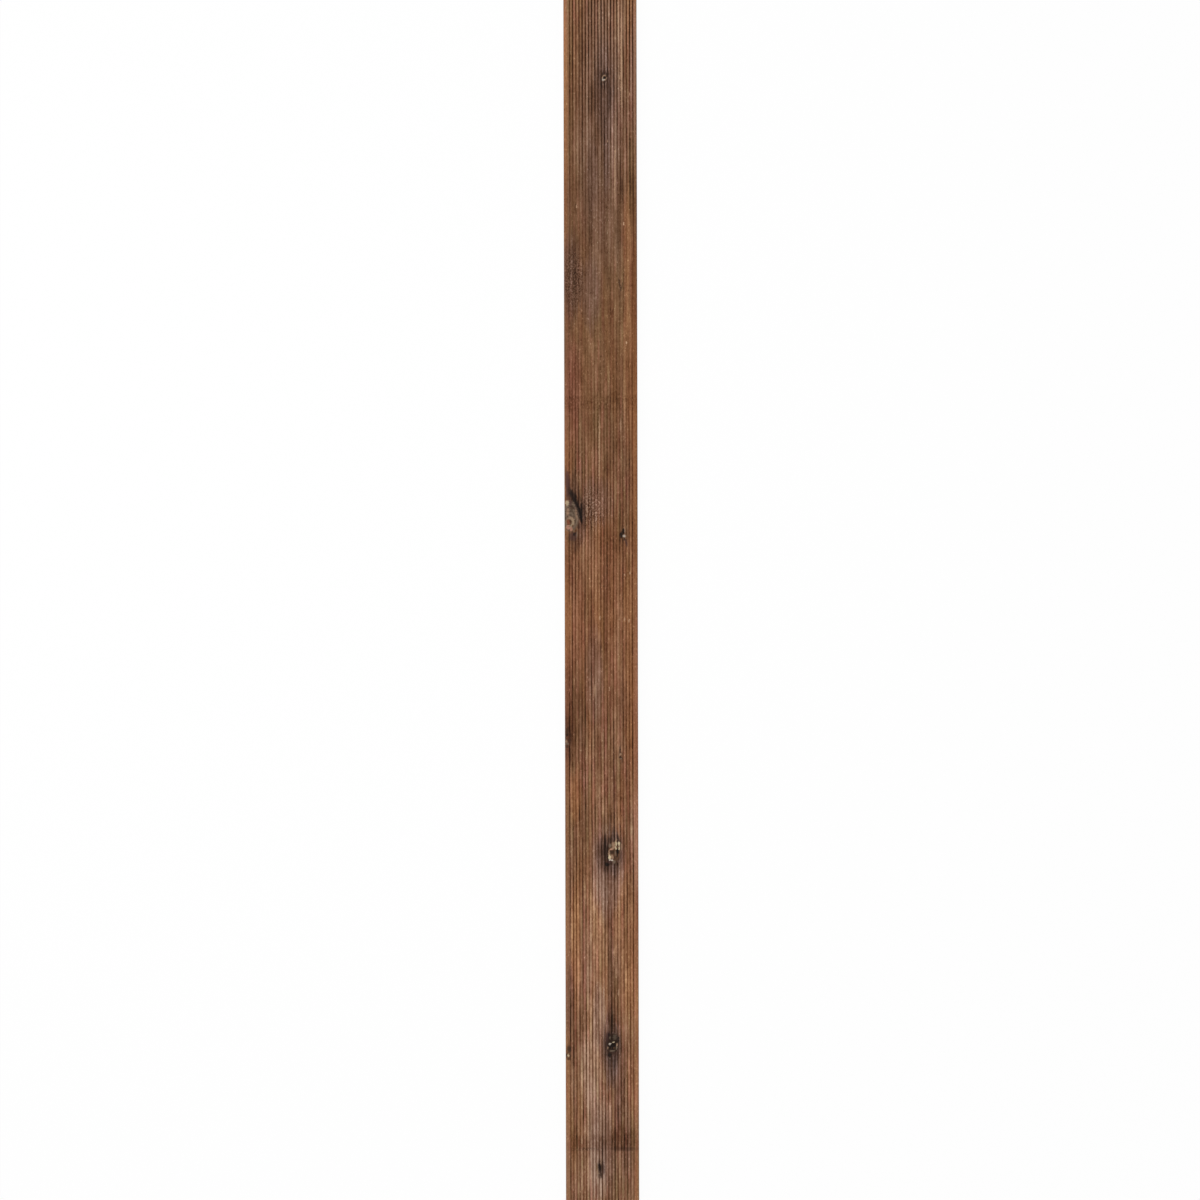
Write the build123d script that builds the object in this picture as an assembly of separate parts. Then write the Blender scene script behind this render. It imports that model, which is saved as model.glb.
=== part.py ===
"""Grooved decking board: one length of planed softwood with a fine-ribbed walking face.

X runs across the board, Y along it and Z up. The origin is the middle of the underside, so the
board lies on its flat back with the ribs up, as it is laid on joists. Sizes are in millimetres.
"""

import os

from build123d import *

# Board blank
board_length = 2400.0  # sold length, sawn square at both ends
board_width = 145.0  # from long edge to long edge
board_thickness = 28.0  # from the flat back to the rib crests
top_edge_radius = 4.0  # rounding of the two upper long edges
bottom_edge_radius = 2.5  # rounding of the two lower long edges

# Grooves of the walking face
groove_pitch = 6.26  # from the middle of one groove to the next
groove_mouth = 3.4  # width at the walking face
groove_floor = 1.2  # width at the bottom, so the flanks lean outwards
groove_depth = 1.5  # below the rib crests
groove_floor_radius = 0.45  # rounding where a flank meets the floor
rib_crest_radius = 0.5  # easing of the ribs' upper corners
smooth_margin = 9.5  # least distance from a long edge to the middle of the first groove


def blank_section():
    """The planed blank seen from its end, with its four long edges rounded."""
    blank = Rectangle(board_width, board_thickness, align=(Align.CENTER, Align.MIN))
    blank = fillet(blank.vertices().group_by(Axis.Y)[-1], top_edge_radius)
    return fillet(blank.vertices().group_by(Axis.Y)[0], bottom_edge_radius)


def groove_section():
    """One groove seen from the board's end, its mouth centred on the origin."""
    half_mouth = groove_mouth / 2
    half_floor = groove_floor / 2
    flanks = Polyline(
        (-half_mouth, 0),
        (-half_floor, -groove_depth),
        (half_floor, -groove_depth),
        (half_mouth, 0),
        close=True,
    )
    groove = make_face(flanks)
    return fillet(groove.vertices().group_by(Axis.Y)[0], groove_floor_radius)


def groove_centres():
    """Where the grooves lie across the board: as many as fit between the margins, centred."""
    gaps = int((board_width - 2 * smooth_margin) // groove_pitch)
    return [(index - gaps / 2) * groove_pitch for index in range(gaps + 1)]


def ribbed_section():
    """The finished section: the blank with its row of grooves, and the rib corners eased."""
    groove = groove_section()
    section = blank_section() - [
        Pos(centre, board_thickness) * groove for centre in groove_centres()
    ]
    # The walking face's outermost two corners belong to the rounded long edges.
    face_corners = section.vertices().group_by(Axis.Y)[-1].sort_by(Axis.X)
    return fillet(face_corners[1:-1], rib_crest_radius)


decking_board = extrude(Plane.XZ * ribbed_section(), amount=board_length / 2, both=True)
decking_board.label = "decking_board"

os.makedirs("parts", exist_ok=True)
export_step(decking_board, "parts/decking_board.step")

print("grooves", len(groove_centres()), "volume mm3", round(decking_board.volume))
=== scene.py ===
"""Grooved decking board: one sold length of brown-stained softwood, ribbed along its walking face.

X runs across the board, Y along it and Z up, in metres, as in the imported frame. The board is swept
from its section, worn vertex by vertex, and finished with one solid wood that the ends, the edges and
the back all cut through.
"""

import math
from typing import NamedTuple

import bmesh
import bpy
from bpy.props import FloatProperty, FloatVectorProperty, IntProperty, PointerProperty
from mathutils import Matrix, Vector, noise


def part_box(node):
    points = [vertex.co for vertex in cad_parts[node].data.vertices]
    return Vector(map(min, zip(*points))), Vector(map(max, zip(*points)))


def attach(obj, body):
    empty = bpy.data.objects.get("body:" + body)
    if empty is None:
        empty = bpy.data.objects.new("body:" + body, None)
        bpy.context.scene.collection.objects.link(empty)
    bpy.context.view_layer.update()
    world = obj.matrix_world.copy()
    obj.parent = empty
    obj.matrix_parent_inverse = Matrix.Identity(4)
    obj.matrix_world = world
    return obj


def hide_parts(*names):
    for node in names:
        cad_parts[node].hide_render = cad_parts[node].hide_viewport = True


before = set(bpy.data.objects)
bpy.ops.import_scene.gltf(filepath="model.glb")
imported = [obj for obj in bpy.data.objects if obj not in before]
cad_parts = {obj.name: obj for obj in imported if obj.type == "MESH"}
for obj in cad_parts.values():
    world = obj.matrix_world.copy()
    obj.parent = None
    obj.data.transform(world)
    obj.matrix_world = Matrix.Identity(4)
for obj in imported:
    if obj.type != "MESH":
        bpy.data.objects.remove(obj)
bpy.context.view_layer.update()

bl_info = {
    "name": "Grooved Decking Board",
    "version": (1, 0, 0),
    "blender": (4, 5, 0),
    "location": "View3D > Sidebar > Decking",
    "description": "Models one length of ribbed softwood decking and gives it a stained, knotty finish",
    "category": "Object",
}

NODE = "decking_board"
BODY = "root"
MM = 0.001
node_low, node_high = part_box(NODE)


# Properties

def length(name, description, default):
    """A length property in metres."""
    return FloatProperty(
        name=name, description=description, default=default,
        min=0.0, unit="LENGTH", subtype="DISTANCE", precision=5,
    )


def share(name, description, default):
    """A plain number property."""
    return FloatProperty(name=name, description=description, default=default, min=0.0, precision=3)


def linear(red, green, blue):
    """A colour read off a screen, 0 to 255, as the linear light that shaders work in."""
    levels = [level / 255 for level in (red, green, blue)]
    return [v / 12.92 if v <= 0.04045 else ((v + 0.055) / 1.055) ** 2.4 for v in levels]


def colour(name, description, red, green, blue):
    """A colour property whose default is written as it looks on a screen."""
    return FloatVectorProperty(
        name=name, description=description, default=linear(red, green, blue),
        min=0.0, max=1.0, subtype="COLOR",
    )


class BoardSizes(bpy.types.PropertyGroup):
    """Sizes of the board's section and of the mesh that carries its wear."""

    board_length: length("Length", "From sawn end to sawn end", node_high.y - node_low.y)
    board_width: length("Width", "From long edge to long edge", node_high.x - node_low.x)
    thickness: length("Thickness", "From the flat back to the rib crests", node_high.z - node_low.z)
    top_edge_radius: length("Top edge radius", "Rounding of the two upper long edges", 4.0 * MM)
    back_edge_radius: length("Back edge radius", "Rounding of the two lower long edges", 2.5 * MM)
    groove_pitch: length("Groove pitch", "From the middle of one groove to the next", 6.26 * MM)
    groove_mouth: length("Groove mouth", "Width of a groove at the walking face", 3.4 * MM)
    groove_floor: length("Groove floor", "Width of a groove at its bottom", 1.2 * MM)
    groove_depth: length("Groove depth", "Depth of a groove below the rib crests", 1.5 * MM)
    floor_radius: length("Floor radius", "Rounding where a flank meets the floor", 0.45 * MM)
    crest_radius: length("Crest radius", "Easing of the ribs' upper corners", 0.5 * MM)
    smooth_margin: length("Smooth margin", "Least distance from a long edge to the first groove", 9.5 * MM)
    row_length: length("Row length", "Spacing of the mesh's rows along the board", 16.0 * MM)
    fine_rows: IntProperty(
        name="Fine rows", description="Rows that each plain row is cut into at a knot or crack",
        default=10, min=1,
    )


class BoardColours(bpy.types.PropertyGroup):
    """Colours of the stained wood, its knots and its marks."""

    # The groove floors reach this brown partly through stain and partly through painted shade of the recess
    darkest: colour("Darkest wood", "Deepest stain, down in the grooves", 48, 25, 10)
    dark: colour("Dark wood", "Heavily stained fibres", 88, 54, 31)
    middle: colour("Middle wood", "The board's everyday brown", 122, 84, 59)
    pale: colour("Pale wood", "Rubbed rib crests", 154, 115, 88)
    palest: colour("Palest wood", "Bare fibres on the brightest crests", 198, 160, 128)
    orange: colour("Orange cast", "Smooth planed margins", 146, 92, 54)
    red: colour("Red cast", "Resin-rich streaks", 128, 78, 60)
    grey: colour("Grey cast", "Weathered, purplish patches", 112, 86, 76)
    olive: colour("Olive cast", "Green-tinted treatment", 116, 88, 56)
    pink: colour("Pink cast", "Pale sapwood", 140, 104, 84)
    end_grain: colour("End grain", "Sawn ends, which drink the stain", 96, 64, 44)
    halo: colour("Knot halo", "Darkening of the fibres that sweep round a knot", 98, 90, 90)
    # Black that stands both for real bark and for painted shade in the gaps and pits at a knot's rim
    bark: colour("Bark", "Black bark and gaps at a knot's rim", 27, 19, 15)
    burnt: colour("Burnt knot", "Darkest knot wood", 58, 40, 28)
    knot_brown: colour("Brown knot", "Dark knot wood", 92, 63, 43)
    plum: colour("Plum", "Bruised, purplish fibres beside a knot", 74, 50, 45)
    knot_grey: colour("Grey knot", "Dried knot wood", 114, 97, 81)
    knot_tan: colour("Tan knot", "Sound knot wood", 152, 121, 97)
    knot_cream: colour("Cream knot", "Bare knot wood", 203, 182, 148)
    salmon: colour("Salmon knot", "Fresh resinous knot wood", 188, 134, 112)
    knot_red: colour("Red heart", "Heart of a sound knot", 132, 70, 46)
    fleck: colour("Fleck", "Pale torn fibres and dried resin", 192, 178, 163)


class StageSettings(bpy.types.PropertyGroup):
    """The floor, the light and the camera."""

    floor_size: length("Floor size", "Side of the square floor", 30.0)
    floor_colour: colour("Floor", "Pale floor", 240, 240, 240)
    floor_white: share("Floor whiteness", "How much plain white the camera sees over the floor", 0.96)
    world_level: share("World level", "Brightness of the light from all round", 0.62)
    lamp_level: FloatProperty(
        name="Lamp level", description="Power of the overhead softbox", default=46.0, min=0.0, unit="POWER"
    )
    lamp_size: length("Lamp size", "Side of the overhead softbox", 2.6)
    lamp_place: FloatVectorProperty(
        name="Lamp place", description="Where the softbox hangs, turned to the board's middle",
        default=(-1.1, 0.5, 2.6), unit="LENGTH", subtype="TRANSLATION",
    )
    lens: FloatProperty(name="Lens", description="Focal length", default=85.0, min=1.0, unit="CAMERA")
    frame_height: length("Frame height", "Length of board that the picture takes in", 2.376)
    frame_shift: length("Frame shift", "How far left of the board's middle the picture is centred", 2.5 * MM)
    roll: FloatProperty(
        name="Roll", description="Lean of the board in the picture", default=0.00225, subtype="ANGLE"
    )


# What grew and what happened along this board, in millimetres from its middle

class Daub(NamedTuple):
    """One touch of colour: an ellipse with a ragged edge."""

    across: float
    along: float
    half_width: float
    half_length: float
    shade: str  # a name in BoardColours
    strength: float = 0.9
    soft: float = 0.4  # how much of the ellipse fades out
    turn: float = 0.0  # degrees anticlockwise
    pit: float = 0.0  # how far the wood is broken away there
    mottled: bool = False  # whether the colour is broken into spots
    rings: float = 0.0  # how many rings the colour falls into


class Knot(NamedTuple):
    """A branch cut through on the walking face, with its daubs placed from the knot's middle."""

    across: float
    along: float
    half_width: float
    half_length: float
    sunk: float  # how far the ribs are broken away
    daubs: tuple


class Stain(NamedTuple):
    """A soft streaky patch where the wood is darker or paler and leans to a cast."""

    across: float
    along: float
    half_width: float
    half_length: float
    tone: float
    cast: str = ""  # a name in BoardColours
    cast_strength: float = 0.0


class Crack(NamedTuple):
    """A drying check that opens in a groove's floor."""

    groove: int  # counted from the middle groove
    start: float
    end: float
    depth: float


class Step(NamedTuple):
    """A change of some quantity from one place along the board to another."""

    start: float
    end: float
    amount: float


KNOTS = (
    Knot(9.6, 1033.0, 6.0, 6.6, 0.5, (
        Daub(-1.0, 1.0, 11.0, 17.0, "halo", 0.7, 0.8),
        Daub(9.0, -34.0, 4.0, 34.0, "halo", 0.5, 0.8),
        Daub(-5.0, 8.0, 2.6, 4.0, "burnt", 0.8, 0.6),
        Daub(5.0, 8.5, 3.0, 4.0, "burnt", 0.8, 0.6),
        Daub(-1.0, 1.0, 5.3, 5.8, "knot_tan", 0.9, 0.2),
        Daub(-2.6, -1.4, 3.4, 3.6, "fleck", 0.8, 0.5),
        Daub(-0.8, 1.2, 3.2, 3.4, "bark", 1.0, 0.35, pit=1.0),
        Daub(3.0, 3.6, 2.6, 2.6, "burnt", 0.8, 0.5),
        Daub(-3.0, -9.0, 2.0, 2.6, "burnt", 0.7, 0.6),
    )),
    Knot(-61.0, 166.0, 18.0, 31.0, 0.6, (
        Daub(6.0, 18.0, 17.0, 40.0, "halo", 0.35, 0.9),
        Daub(25.0, 10.0, 7.0, 30.0, "halo", 0.55, 0.7),
        Daub(10.0, 37.0, 12.0, 14.0, "halo", 0.5, 0.7),
        Daub(-6.0, 66.0, 4.6, 30.0, "plum", 0.85, 0.6, 4.0),
        Daub(0.0, 49.0, 3.8, 10.0, "burnt", 0.85, 0.5, 15.0),
        Daub(4.6, 40.0, 6.4, 13.0, "bark", 0.85, 0.6, 24.0),
        Daub(0.5, 0.0, 17.5, 31.0, "knot_grey", 0.85, 0.25),
        Daub(0.5, 0.0, 17.0, 30.0, "burnt", 0.55, 0.3, rings=3.5),
        Daub(12.0, 14.0, 4.0, 16.0, "plum", 0.5, 0.5, 12.0),
        Daub(0.3, 26.5, 2.7, 8.0, "plum", 0.8, 0.5),
        Daub(-6.6, 26.5, 4.0, 6.4, "knot_cream", 0.6, 0.5),
        Daub(3.0, 16.5, 4.6, 5.0, "burnt", 0.7, 0.55),
        Daub(-5.6, 8.5, 3.2, 8.0, "knot_tan", 0.95, 0.5),
        Daub(11.6, 3.0, 2.0, 13.0, "knot_tan", 0.7, 0.5, 9.0),
        Daub(0.0, -11.0, 10.0, 11.0, "knot_tan", 0.9, 0.3),
        Daub(0.8, -11.0, 8.4, 9.6, "knot_cream", 0.5, 0.3, mottled=True),
        Daub(-2.6, -11.6, 6.2, 7.4, "knot_brown", 0.95, 0.4),
        Daub(-4.2, -11.6, 4.2, 6.2, "knot_red", 0.6, 0.65),
        Daub(-0.6, -10.4, 2.2, 4.4, "burnt", 0.75, 0.5),
        Daub(8.8, -11.0, 1.4, 5.5, "burnt", 0.7, 0.5),
        Daub(-4.6, -22.0, 4.2, 4.6, "salmon", 0.75, 0.5),
        Daub(1.4, -25.0, 3.2, 4.6, "salmon", 0.65, 0.5),
        Daub(4.6, -19.0, 1.7, 1.9, "knot_brown", 0.9, 0.4),
        Daub(0.5, 1.0, 16.0, 28.0, "burnt", 0.42, 0.3, mottled=True),
        Daub(11.0, 27.0, 4.2, 12.0, "bark", 0.92, 0.45, 26.0),
        Daub(17.8, 7.0, 3.8, 23.0, "bark", 1.0, 0.4, 13.0, 2.5),
        Daub(22.0, 7.0, 2.4, 22.0, "bark", 0.85, 0.5, 2.0),
        Daub(17.0, -20.0, 4.0, 6.5, "halo", 0.6, 0.6),
        Daub(8.0, -48.0, 12.0, 20.0, "halo", 0.5, 0.8),
        Daub(5.0, -40.0, 9.0, 10.0, "plum", 0.75, 0.6),
        Daub(7.4, -36.0, 2.6, 4.2, "bark", 0.85, 0.5),
        Daub(12.6, -36.0, 1.3, 8.0, "knot_grey", 0.7, 0.5),
    )),
    Knot(45.6, 125.7, 5.0, 8.0, 0.5, (
        Daub(-1.0, 1.0, 8.5, 17.0, "halo", 0.6, 0.8),
        Daub(-1.6, 10.0, 2.4, 6.0, "bark", 0.95, 0.5, pit=0.6),
        Daub(-5.6, 3.4, 3.2, 7.0, "bark", 0.95, 0.5),
        Daub(1.2, 13.0, 1.3, 6.5, "knot_tan", 0.7, 0.5, 8.0),
        Daub(0.4, -5.8, 2.8, 3.2, "burnt", 0.8, 0.6),
        Daub(4.2, -13.0, 2.6, 8.0, "plum", 0.85, 0.5, 12.0),
        Daub(0.2, 0.6, 3.2, 3.4, "fleck", 0.68, 0.5),
        Daub(3.2, 1.4, 1.6, 2.6, "knot_tan", 0.7, 0.5),
    )),
    Knot(-67.8, -273.0, 6.0, 18.0, 0.4, (
        Daub(1.0, 0.0, 9.0, 40.0, "halo", 0.55, 0.9),
        Daub(-0.4, 12.0, 2.8, 9.0, "burnt", 0.75, 0.6),
        Daub(-1.2, 5.6, 2.2, 2.4, "bark", 0.9, 0.5, pit=0.8),
        Daub(3.6, -5.0, 2.2, 2.8, "burnt", 0.8, 0.5),
        Daub(-2.5, -7.0, 2.8, 3.4, "knot_tan", 0.75, 0.5),
        Daub(-0.6, -12.0, 3.2, 3.2, "knot_grey", 0.7, 0.5),
        Daub(-0.6, -17.0, 2.8, 4.4, "burnt", 0.7, 0.6),
    )),
    Knot(38.7, -309.0, 4.0, 6.5, 0.4, (
        Daub(-1.0, 2.0, 6.5, 14.0, "halo", 0.4, 0.9),
        Daub(-1.8, 13.0, 1.4, 8.0, "burnt", 0.75, 0.6),
        Daub(-1.7, -2.8, 3.2, 2.2, "burnt", 0.85, 0.5, pit=0.8),
        Daub(-1.7, 3.0, 2.7, 2.6, "knot_tan", 0.8, 0.45),
        Daub(0.0, -5.2, 1.7, 1.7, "knot_grey", 0.85, 0.5),
    )),
    Knot(25.8, -501.0, 13.5, 22.0, 0.7, (
        Daub(-2.0, 0.0, 22.0, 36.0, "halo", 0.45, 0.9),
        Daub(-18.0, 7.0, 7.0, 17.0, "halo", 0.65, 0.8),
        Daub(-1.0, 3.0, 13.0, 21.0, "knot_brown", 0.85, 0.3),
        Daub(-11.0, 26.0, 3.4, 6.0, "burnt", 0.75, 0.6),
        Daub(-2.0, -18.0, 3.6, 4.6, "knot_grey", 0.75, 0.5),
        Daub(-3.0, 17.0, 3.5, 5.6, "knot_tan", 0.9, 0.5),
        Daub(-9.5, 15.0, 2.8, 3.6, "knot_grey", 0.9, 0.5),
        Daub(2.5, 24.0, 1.7, 4.5, "knot_tan", 0.85, 0.5),
        Daub(13.0, 11.5, 1.4, 8.0, "knot_tan", 0.65, 0.5),
        Daub(5.2, 18.0, 1.4, 4.8, "burnt", 0.9, 0.5),
        Daub(6.0, 29.0, 1.3, 5.0, "burnt", 0.85, 0.5, 15.0),
        Daub(11.0, 21.5, 1.2, 6.0, "halo", 0.7, 0.5),
        Daub(2.6, 18.5, 2.2, 5.2, "knot_cream", 0.8, 0.5),
        Daub(8.3, 18.0, 2.2, 5.4, "knot_cream", 0.95, 0.45),
        Daub(8.5, 9.0, 2.1, 4.4, "knot_cream", 0.95, 0.45),
        Daub(1.8, 10.0, 2.1, 4.0, "knot_cream", 0.9, 0.5, 20.0),
        Daub(-5.0, -8.0, 3.4, 4.4, "knot_tan", 0.9, 0.5),
        Daub(-11.2, -3.0, 2.3, 9.5, "knot_tan", 0.9, 0.45),
        Daub(-10.6, -8.5, 2.7, 5.0, "knot_cream", 1.0, 0.4),
        Daub(-7.0, -13.8, 4.8, 2.0, "fleck", 1.0, 0.4),
        Daub(-5.0, 9.0, 7.0, 2.2, "knot_tan", 0.9, 0.45, 32.0),
        Daub(-7.5, 7.0, 4.0, 1.6, "salmon", 0.6, 0.45, 32.0),
        Daub(-7.4, 0.8, 2.8, 4.4, "burnt", 0.95, 0.5),
        Daub(-3.0, 1.5, 2.8, 4.6, "burnt", 0.95, 0.5),
        Daub(1.3, 0.0, 1.4, 5.5, "knot_grey", 0.8, 0.5),
        Daub(-0.5, -9.5, 1.8, 3.0, "burnt", 0.9, 0.5),
        Daub(5.8, 3.0, 3.2, 6.4, "bark", 1.0, 0.35, pit=3.0),
        Daub(4.7, -4.8, 1.4, 3.6, "bark", 0.95, 0.5),
        Daub(-11.0, -18.0, 4.6, 2.8, "plum", 0.85, 0.5),
        Daub(-15.0, -22.5, 5.0, 4.4, "bark", 1.0, 0.5),
    )),
    Knot(21.2, -880.0, 13.0, 24.0, 0.8, (
        Daub(-1.0, -2.0, 18.0, 32.0, "halo", 0.5, 0.9),
        Daub(-12.0, 2.0, 6.0, 22.0, "halo", 0.5, 0.7),
        Daub(-3.0, -34.0, 12.0, 14.0, "halo", 0.4, 0.9),
        Daub(-1.6, 44.0, 1.9, 23.0, "burnt", 0.95, 0.5),
        Daub(-10.0, 15.0, 5.4, 11.0, "plum", 0.85, 0.6),
        Daub(0.5, 3.0, 12.0, 20.0, "burnt", 0.9, 0.4),
        Daub(-1.0, 3.0, 13.5, 23.0, "halo", 0.5, 0.5),
        Daub(-8.0, 19.0, 1.7, 5.4, "bark", 0.85, 0.5),
        Daub(4.0, 15.5, 4.6, 8.4, "knot_grey", 0.9, 0.5, mottled=True),
        Daub(-5.7, 12.5, 1.6, 2.8, "knot_grey", 0.75, 0.5),
        Daub(2.0, 11.0, 9.0, 12.0, "bark", 0.55, 0.4, mottled=True),
        Daub(10.8, 10.0, 1.8, 8.0, "bark", 0.95, 0.5),
        Daub(-1.0, -4.5, 7.4, 7.6, "bark", 1.0, 0.35, pit=3.0),
        Daub(2.6, -7.4, 1.9, 2.2, "knot_brown", 0.7, 0.5),
        Daub(-3.4, -8.0, 1.5, 1.8, "burnt", 0.9, 0.5),
        Daub(-10.7, -7.5, 1.6, 3.2, "knot_tan", 0.65, 0.5),
        Daub(-5.7, 1.2, 2.7, 2.4, "fleck", 0.95, 0.4),
        Daub(1.0, 4.7, 2.6, 1.6, "knot_cream", 0.9, 0.5, 15.0),
        Daub(7.8, -1.6, 1.4, 5.2, "knot_tan", 0.95, 0.45, -12.0),
        Daub(7.2, -6.6, 1.6, 4.0, "knot_grey", 0.9, 0.5),
        Daub(-1.5, -13.2, 5.6, 2.2, "knot_grey", 0.65, 0.5),
        Daub(-6.7, -20.5, 4.2, 5.0, "bark", 0.9, 0.5),
        Daub(-14.5, -21.0, 3.4, 3.2, "burnt", 0.6, 0.5),
        Daub(-6.0, -28.0, 1.7, 1.9, "knot_grey", 0.75, 0.5),
    )),
    Knot(-67.2, -897.0, 6.0, 11.0, 0.4, (
        Daub(1.0, 0.0, 8.0, 18.0, "halo", 0.35, 0.9),
        Daub(1.6, 7.0, 4.6, 8.0, "burnt", 0.85, 0.6, pit=0.6),
        Daub(-3.6, -4.5, 2.6, 5.0, "burnt", 0.85, 0.5),
        Daub(3.0, -4.0, 1.6, 5.0, "burnt", 0.8, 0.5),
        Daub(0.8, -10.5, 3.4, 2.6, "burnt", 0.75, 0.5),
        Daub(-0.4, -4.4, 2.0, 3.8, "knot_cream", 0.75, 0.5),
    )),
    Knot(-4.5, -1127.0, 3.0, 14.0, 0.3, (
        Daub(7.0, 3.0, 2.0, 16.0, "plum", 0.75, 0.6),
        Daub(-0.5, 0.0, 7.0, 21.0, "halo", 0.7, 0.6),
        Daub(-7.0, 3.0, 2.2, 10.0, "olive", 0.6, 0.6),
        Daub(1.2, 15.6, 1.3, 6.4, "knot_tan", 0.75, 0.5),
        Daub(-1.2, 2.5, 2.6, 10.0, "bark", 0.95, 0.45, 6.0, 1.6),
        Daub(0.6, -9.0, 2.2, 8.0, "burnt", 0.85, 0.5, 10.0),
        Daub(3.8, 4.4, 1.6, 9.4, "burnt", 0.85, 0.5),
        Daub(4.2, -15.0, 1.4, 7.0, "burnt", 0.7, 0.5),
        Daub(-4.8, -5.6, 1.7, 6.2, "knot_tan", 0.85, 0.45, 8.0),
    )),
)
MARKS = (
    Daub(38.8, 1033.6, 1.3, 3.4, "palest", 0.8),
    Daub(58.8, 1002.0, 1.3, 3.4, "palest", 0.5),
    Daub(14.4, 908.8, 1.3, 3.0, "palest", 0.5),
    Daub(30.4, 889.0, 1.3, 3.6, "palest", 0.6),
    Daub(-47.7, 780.0, 1.3, 3.2, "palest", 0.7),
    Daub(46.1, 744.5, 1.3, 3.6, "palest", 0.8),
    Daub(43.3, 813.0, 2.2, 30.0, "halo", 0.5, 0.7),
    Daub(38.0, 625.0, 1.6, 13.0, "halo", 0.6, 0.6, 12.0),
    Daub(42.0, 620.0, 1.4, 11.0, "halo", 0.6, 0.6, -14.0),
    Daub(51.2, 508.9, 1.4, 3.6, "palest", 0.85),
    Daub(-3.1, -35.6, 1.2, 5.0, "palest", 0.6),
    Daub(36.0, -38.0, 1.2, 3.0, "palest", 0.6),
    Daub(46.0, -38.0, 1.2, 4.0, "palest", 0.65),
    Daub(55.0, -41.0, 1.3, 4.4, "palest", 0.65),
    Daub(46.0, 50.0, 1.2, 3.0, "palest", 0.6),
    Daub(57.0, 53.0, 1.2, 3.0, "palest", 0.6),
    Daub(16.1, -176.2, 1.2, 4.0, "palest", 0.55),
    Daub(-14.4, -178.0, 3.0, 14.0, "palest", 0.4, 0.7),
    Daub(52.6, 108.7, 4.0, 7.0, "knot_red", 0.3, 0.7),
    Daub(42.0, -1087.0, 30.0, 5.0, "halo", 0.45, 0.6, -1.0),
    Daub(-34.0, -1087.0, 40.0, 3.6, "halo", 0.6, 0.6, 1.0, mottled=True),
    Daub(36.4, 1140.0, 1.4, 60.0, "palest", 0.35, 0.6),
    Daub(42.0, 1075.0, 1.6, 115.0, "palest", 0.5, 0.6),
    Daub(47.0, 1140.0, 1.3, 50.0, "palest", 0.3, 0.6),
    Daub(-2.5, 1160.0, 1.3, 45.0, "palest", 0.35, 0.6),
    Daub(28.8, 842.0, 1.5, 66.0, "palest", 0.45, 0.6),
    Daub(-3.2, 300.0, 1.4, 75.0, "palest", 0.5, 0.6),
    Daub(39.0, 345.0, 1.3, 14.0, "palest", 0.4, 0.6),
    Daub(-5.2, -396.0, 1.4, 32.0, "palest", 0.35, 0.6),
    Daub(36.0, -545.0, 1.3, 30.0, "palest", 0.4, 0.6),
    Daub(-3.9, -815.0, 1.6, 34.0, "palest", 0.5, 0.6),
    Daub(32.5, -778.0, 1.4, 8.0, "palest", 0.5, 0.5),
    Daub(-41.0, -1070.0, 1.8, 9.0, "palest", 0.5, 0.6),
)
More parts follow.
